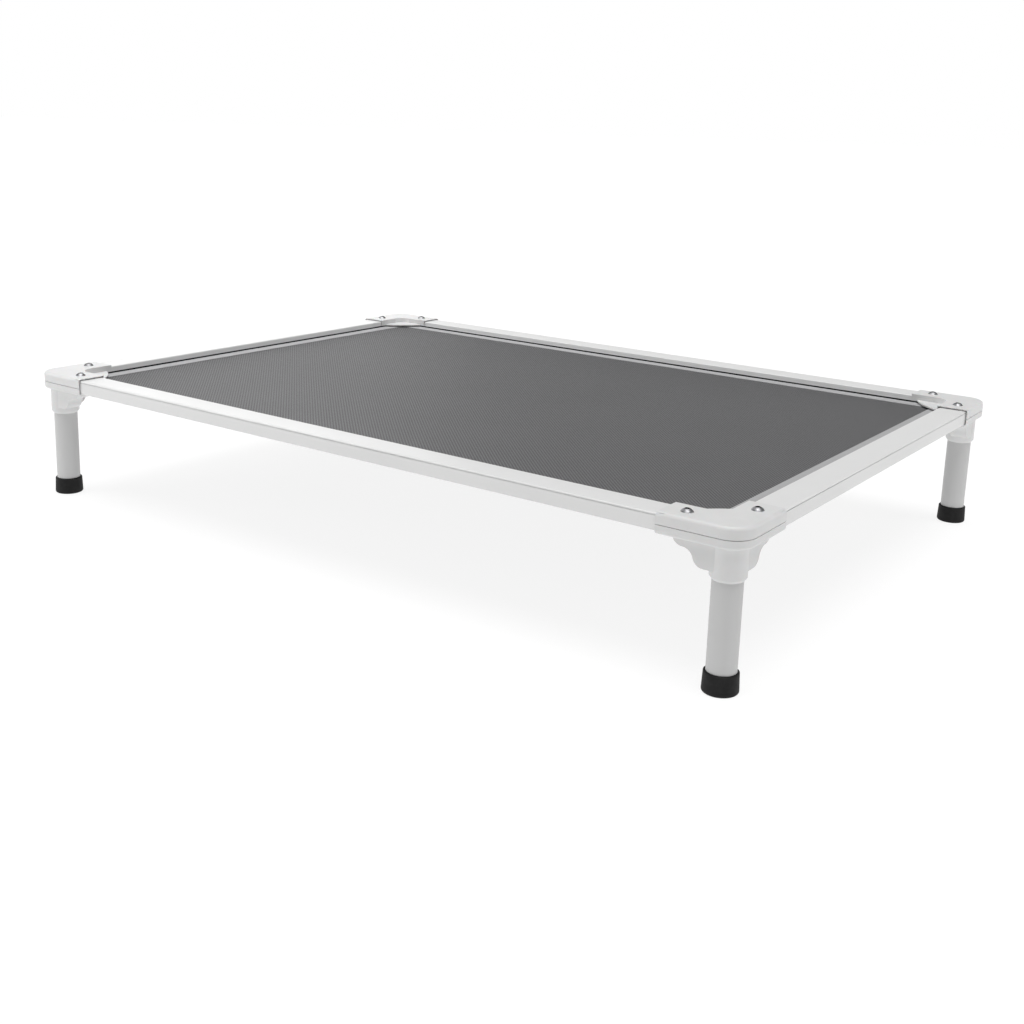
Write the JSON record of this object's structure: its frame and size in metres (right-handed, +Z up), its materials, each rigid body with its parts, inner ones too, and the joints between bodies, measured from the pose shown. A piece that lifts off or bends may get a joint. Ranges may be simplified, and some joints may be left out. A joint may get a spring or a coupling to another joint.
{
  "type": "raised dog bed",
  "caption": "Raised dog bed: woven mesh stretched in a white rail frame with moulded corners, on short round legs with rubber feet.",
  "frame": {"origin": "middle of the footprint, on the surface that the feet stand on", "axes": "+X along the long side, to the right of a person standing at the front; +Y from the front side to the back; +Z up"},
  "size_m": [1.0718, 0.7668, 0.1772],
  "materials": {
    "rail_coat": "satin",
    "corner_moulding": "satin",
    "leg_coat": "satin",
    "foot_rubber": "matte",
    "plug_nylon": "matte",
    "zinc_steel": "satin",
    "stainless": "polished",
    "brass_insert": "satin",
    "woven_mesh": "matte",
    "hem_band": "matte",
    "rod_pvc": "matte"
  },
  "bodies": {
    "root": {"front_rail": "rail_coat", "back_rail": "rail_coat", "left_rail": "rail_coat", "right_rail": "rail_coat", "corner_cap_front_left": "corner_moulding", "corner_cap_front_right": "corner_moulding", "corner_cap_back_left": "corner_moulding", "corner_cap_back_right": "corner_moulding", "bracket_front_left": "corner_moulding", "bracket_front_right": "corner_moulding", "bracket_back_left": "corner_moulding", "bracket_back_right": "corner_moulding", "leg_front_left": "leg_coat", "leg_front_right": "leg_coat", "leg_back_left": "leg_coat", "leg_back_right": "leg_coat", "foot_front_left": "foot_rubber", "foot_front_right": "foot_rubber", "foot_back_left": "foot_rubber", "foot_back_right": "foot_rubber", "leg_plug_front_left": "plug_nylon", "leg_plug_front_right": "plug_nylon", "leg_plug_back_left": "plug_nylon", "leg_plug_back_right": "plug_nylon", "leg_bolts": "zinc_steel", "cap_screws": "stainless", "screw_inserts": "brass_insert", "sleeping_mesh": "woven_mesh", "hem_front": "hem_band", "hem_back": "hem_band", "hem_left": "hem_band", "hem_right": "hem_band", "keder_rod_front": "rod_pvc", "keder_rod_back": "rod_pvc", "keder_rod_left": "rod_pvc", "keder_rod_right": "rod_pvc"}
  },
  "joints": []
}
